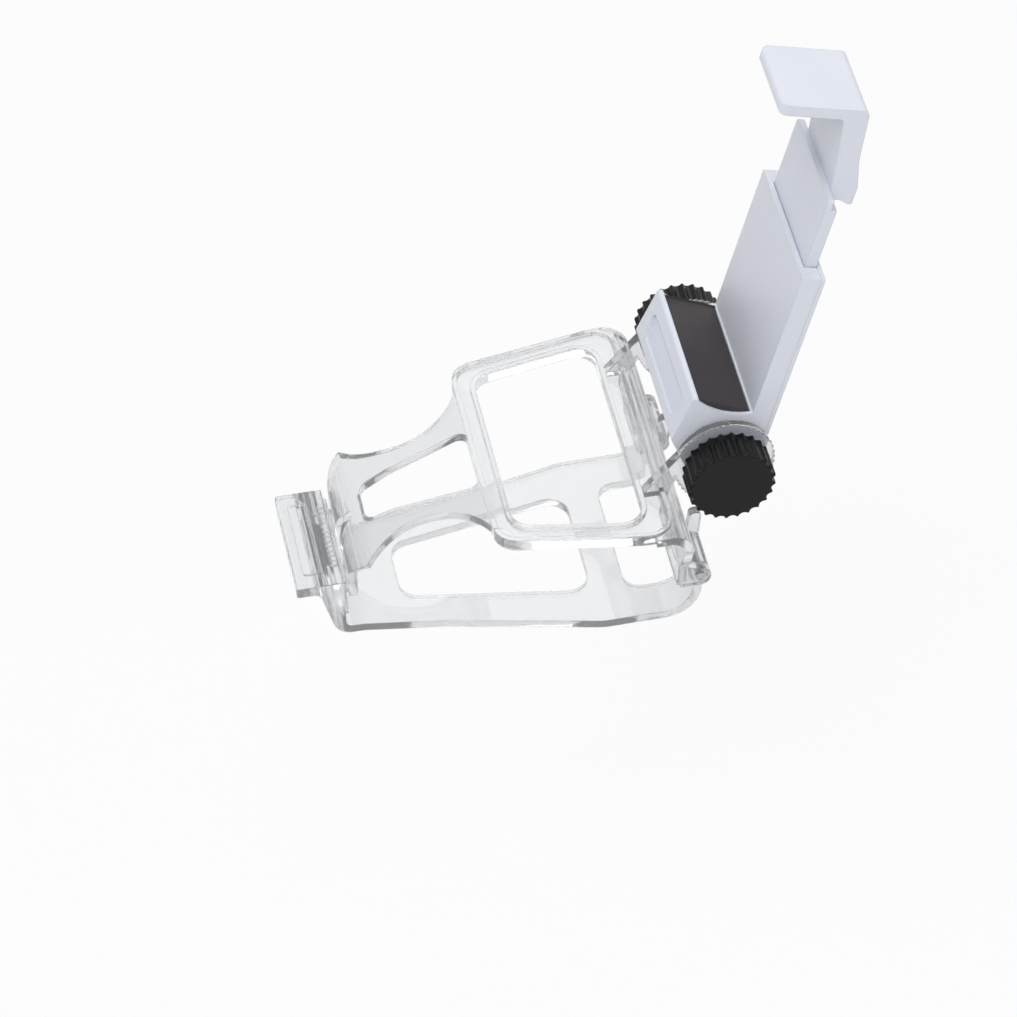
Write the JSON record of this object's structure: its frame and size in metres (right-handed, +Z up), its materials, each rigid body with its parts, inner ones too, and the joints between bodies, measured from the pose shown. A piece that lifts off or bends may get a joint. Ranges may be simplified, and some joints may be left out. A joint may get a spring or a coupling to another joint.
{
  "type": "controller phone clip",
  "caption": "Clear clip that closes round a game controller, with a tilting phone holder, a sliding top jaw and two knurled side knobs.",
  "frame": {"origin": "underside of the frame's front bar, in its middle plane, between the touchpad window and the slot in the tongue", "axes": "+X to the player's right, +Y away from the player, +Z up, square to the touchpad"},
  "size_m": [0.0728, 0.1346, 0.1376],
  "materials": {
    "clear_plastic": "clear polished polycarbonate",
    "shell_plastic": "pale blue-grey satin moulding",
    "knob_plastic": "black semi-gloss moulding",
    "pad_rubber": "dark matt rubber",
    "steel": "plain zinc steel",
    "brass": "turned brass"
  },
  "bodies": {
    "frame": {"base_frame": "clear_plastic", "hinge_pin_right": "steel", "hinge_pin_left": "steel", "washer_right": "steel", "washer_left": "steel"},
    "cradle": {"bottom_cradle": "clear_plastic"},
    "holder": {"holder_front": "shell_plastic", "holder_back": "shell_plastic", "lower_pad": "pad_rubber", "cover_screws": "steel", "tilt_bolt": "steel"},
    "jaw": {"slider": "shell_plastic", "upper_jaw": "shell_plastic", "upper_pad": "pad_rubber", "jaw_screws": "steel", "leaf_spring": "steel"},
    "right_knob": {"knob_right": "knob_plastic", "knob_nut_right": "brass"},
    "left_knob": {"knob_left": "knob_plastic", "knob_nut_left": "brass"}
  },
  "joints": [
    {"name": "holder_tilt", "type": "hinge", "parent": "frame", "child": "holder", "pos_m": [0, 0.0539, 0.0089], "axis": [1, 0, 0], "range_deg": [-75, 50]},
    {"name": "jaw_slide", "type": "slide", "parent": "holder", "child": "jaw", "axis": [0, 0.2689, 0.9632], "range_m": [-0.0163, 0.012]},
    {"name": "cradle_hinge", "type": "hinge", "parent": "frame", "child": "cradle", "pos_m": [0, 0.0464, -0.0184], "axis": [1, 0, 0], "range_deg": [0, 75]},
    {"name": "right_knob_turn", "type": "hinge", "parent": "frame", "child": "right_knob", "pos_m": [0.0257, 0.0539, 0.0089], "axis": [1, 0, 0], "continuous": true},
    {"name": "left_knob_turn", "type": "hinge", "parent": "frame", "child": "left_knob", "pos_m": [-0.0257, 0.0539, 0.0089], "axis": [-1, 0, 0], "continuous": true}
  ]
}
